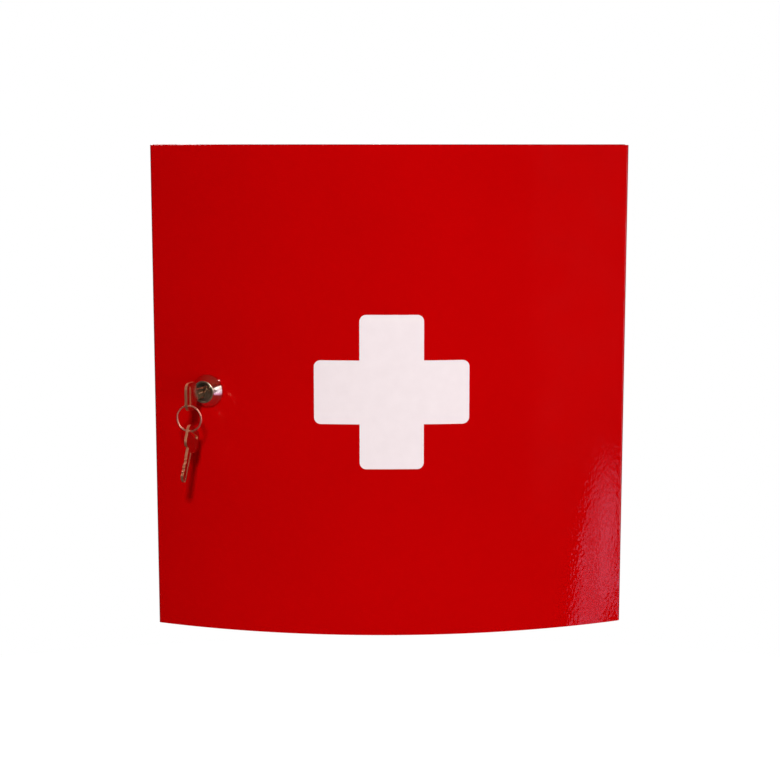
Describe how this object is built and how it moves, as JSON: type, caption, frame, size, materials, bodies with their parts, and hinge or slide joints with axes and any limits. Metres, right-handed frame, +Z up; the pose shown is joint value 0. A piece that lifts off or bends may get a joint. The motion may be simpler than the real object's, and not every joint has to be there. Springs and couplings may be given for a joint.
{
  "type": "lockable medicine cabinet",
  "caption": "Wall-hung lockable medicine cabinet of folded sheet steel with shelves, a bowed hinged door with a plain cross, and a cam lock with its key, split ring and spare key.",
  "frame": {"origin": "middle of the four wall holes, on the back plane that lies against the wall", "axes": "+X right as seen by the user, +Y into the wall, +Z up; the door faces -Y"},
  "size_m": [0.36, 0.1772, 0.37],
  "materials": {
    "red_paint": "gloss red powder coat with a fine orange peel",
    "zinc_steel": "bright zinc-plated steel",
    "nickel_plate": "polished nickel plate",
    "nickel_keys": "satin nickel plate on brass",
    "brass": "machined brass, dull",
    "white_film": "satin white self-adhesive film",
    "rubber": "matt black rubber",
    "nylon": "natural nylon"
  },
  "bodies": {
    "cabinet": {"body_wrap": "red_paint", "top_panel": "red_paint", "bottom_panel": "red_paint", "shelf_rails": "red_paint", "upper_shelf": "red_paint", "lower_shelf": "red_paint", "shelf_rivets": "zinc_steel", "upper_hinge_bracket": "zinc_steel", "lower_hinge_bracket": "zinc_steel", "hinge_rivets": "zinc_steel", "upper_hinge_pin": "zinc_steel", "lower_hinge_pin": "zinc_steel", "door_bumpers": "rubber"},
    "door": {"door_skin": "red_paint", "door_top_cap": "red_paint", "door_bottom_cap": "red_paint", "upper_hinge_plate": "zinc_steel", "lower_hinge_plate": "zinc_steel", "upper_hinge_bush": "nylon", "lower_hinge_bush": "nylon", "cross_emblem": "white_film", "lock_housing": "nickel_plate", "lock_washer": "zinc_steel", "lock_nut": "zinc_steel"},
    "lock_plug": {"lock_plug": "brass", "lock_wafers": "brass", "stop_washer": "zinc_steel", "cam_lever": "zinc_steel", "cam_washer": "zinc_steel", "cam_screw": "zinc_steel"},
    "key": {"key": "nickel_keys"},
    "key_ring": {"key_ring": "nickel_keys"},
    "spare_key": {"spare_key": "nickel_keys"}
  },
  "joints": [
    {"name": "door_hinge", "type": "hinge", "parent": "cabinet", "child": "door", "pos_m": [0.174, -0.108, 0], "axis": [0, 0, 1], "range_deg": [0, 110]},
    {"name": "lock_turn", "type": "hinge", "parent": "door", "child": "lock_plug", "pos_m": [-0.1375, -0.12824, 0.0008], "axis": [0.3088, 0.9511, 0], "range_deg": [0, 90]},
    {"name": "key_pull", "type": "slide", "parent": "lock_plug", "child": "key", "axis": [-0.3088, -0.9511, 0], "range_m": [0, 0.015]},
    {"name": "ring_swing", "type": "hinge", "parent": "key", "child": "key_ring", "pos_m": [-0.14868, -0.16267, -0.0057], "axis": [0.9511, -0.3088, 0], "range_deg": [-30, 20]},
    {"name": "spare_key_swing", "type": "hinge", "parent": "key_ring", "child": "spare_key", "pos_m": [-0.14868, -0.16267, -0.0248], "axis": [0.9511, -0.3088, 0], "range_deg": [-25, 20]}
  ]
}
